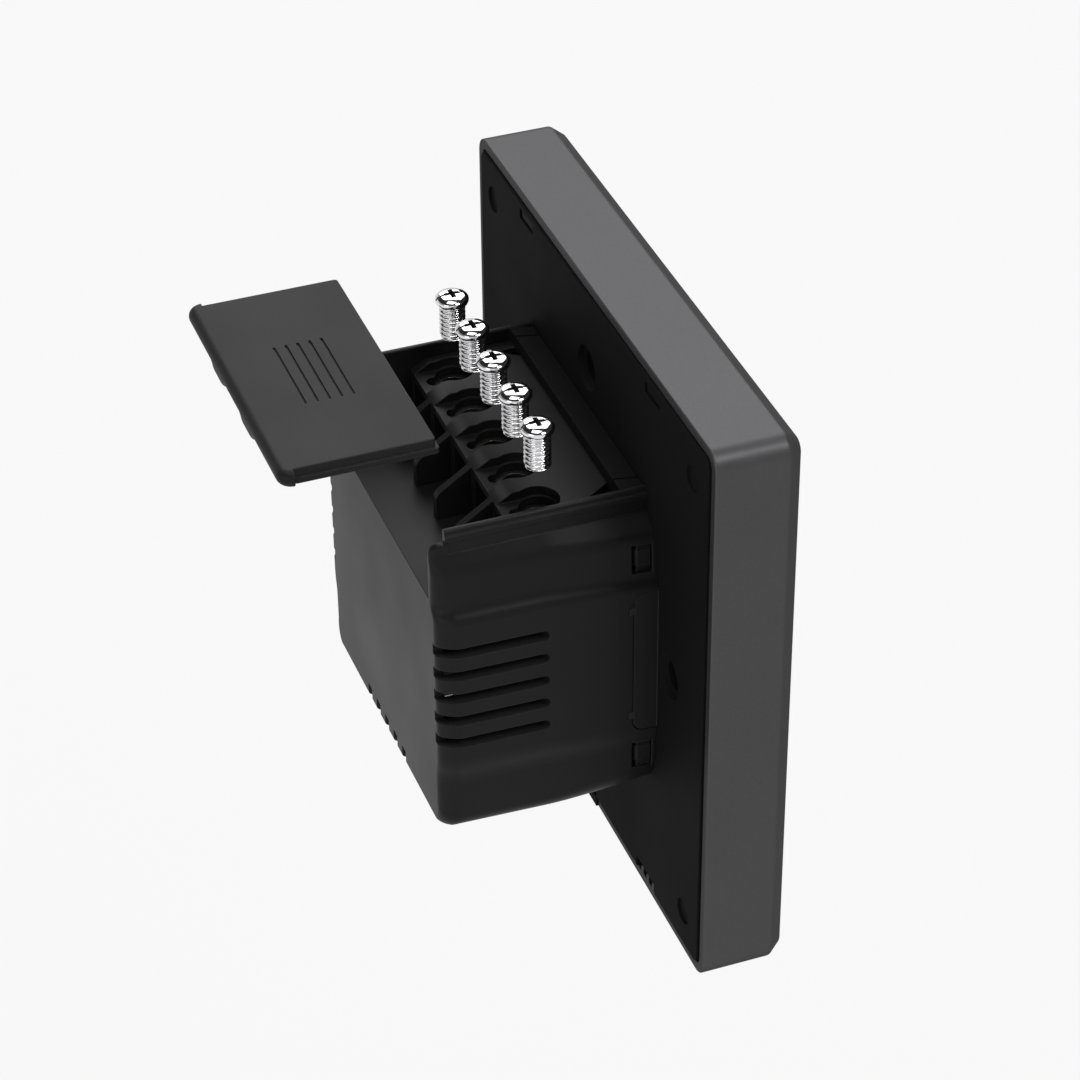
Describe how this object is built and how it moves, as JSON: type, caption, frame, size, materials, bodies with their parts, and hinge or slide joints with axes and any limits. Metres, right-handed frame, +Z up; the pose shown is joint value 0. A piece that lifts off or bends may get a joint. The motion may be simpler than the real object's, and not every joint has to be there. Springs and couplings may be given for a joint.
{
  "type": "wall touch panel",
  "caption": "Square wall control panel with a metal frame, black back plate and wiring box, shown with its terminal cover and screws lifted off.",
  "frame": {"origin": "centre of the four fixing holes, on the wall plane at the back of the mounting plate", "axes": "+Z up, +Y into the wall, -Y to the room, +X to the right as seen from the room"},
  "size_m": [0.086, 0.0609, 0.086],
  "materials": {
    "dark_anodised": "fine satin, dark grey",
    "cover_glass": "polished, black",
    "plate_plastic": "fine matt texture",
    "box_plastic": "satin, moulded",
    "cover_plastic": "fine matt texture",
    "inner_plastic": "moulded",
    "screw_metal": "nickel plated, bright",
    "clamp_brass": "tinned brass",
    "board_green": "solder mask",
    "tin_plate": "tinned",
    "relay_case": "moulded, black",
    "winding_tape": "dark tape over a ferrite core",
    "capacitor_sleeve": "shrink sleeve",
    "gasket_foam": "foam tape",
    "contact_gold": "gold plated contacts",
    "display_back": "plain metal back"
  },
  "bodies": {
    "wall_side": {"mounting_plate": "plate_plastic", "rear_box": "box_plastic", "terminal_block": "box_plastic", "terminal_clamps": "clamp_brass", "power_board": "board_green", "power_board_screws": "tin_plate", "relays": "relay_case", "transformer": "winding_tape", "bulk_capacitors": "capacitor_sleeve", "input_fuse": "tin_plate", "board_socket": "inner_plastic"},
    "front_panel": {"metal_frame": "dark_anodised", "front_glass": "cover_glass", "glass_gasket": "gasket_foam", "display_module": "display_back", "inner_carrier": "inner_plastic", "main_board": "board_green", "main_board_screws": "tin_plate", "shield_can": "tin_plate", "speaker": "inner_plastic", "microphones": "contact_gold", "pin_header": "contact_gold"},
    "cover": {"terminal_cover": "cover_plastic"},
    "screw_1": {"terminal_screw_1": "screw_metal"},
    "screw_2": {"terminal_screw_2": "screw_metal"},
    "screw_3": {"terminal_screw_3": "screw_metal"},
    "screw_4": {"terminal_screw_4": "screw_metal"},
    "screw_5": {"terminal_screw_5": "screw_metal"}
  },
  "joints": [
    {"name": "terminal_cover_slide", "type": "slide", "parent": "wall_side", "child": "cover", "axis": [0, -0.8198, -0.5726], "range_m": [0, 0.02305]},
    {"name": "front_panel_slide", "type": "slide", "parent": "wall_side", "child": "front_panel", "axis": [0, -1, 0], "range_m": [0, 0.03]},
    {"name": "terminal_screw_1_slide", "type": "slide", "parent": "wall_side", "child": "screw_1", "axis": [0, 0, -1], "range_m": [0, 0.0123]},
    {"name": "terminal_screw_2_slide", "type": "slide", "parent": "wall_side", "child": "screw_2", "axis": [0, 0, -1], "range_m": [0, 0.0123]},
    {"name": "terminal_screw_3_slide", "type": "slide", "parent": "wall_side", "child": "screw_3", "axis": [0, 0, -1], "range_m": [0, 0.0123]},
    {"name": "terminal_screw_4_slide", "type": "slide", "parent": "wall_side", "child": "screw_4", "axis": [0, 0, -1], "range_m": [0, 0.0123]},
    {"name": "terminal_screw_5_slide", "type": "slide", "parent": "wall_side", "child": "screw_5", "axis": [0, 0, -1], "range_m": [0, 0.0123]}
  ],
  "couplings": [
    {"joint": "terminal_screw_1_slide", "follows": "terminal_cover_slide", "ratio": 0.53355},
    {"joint": "terminal_screw_2_slide", "follows": "terminal_cover_slide", "ratio": 0.53355},
    {"joint": "terminal_screw_3_slide", "follows": "terminal_cover_slide", "ratio": 0.53355},
    {"joint": "terminal_screw_4_slide", "follows": "terminal_cover_slide", "ratio": 0.53355},
    {"joint": "terminal_screw_5_slide", "follows": "terminal_cover_slide", "ratio": 0.53355}
  ]
}
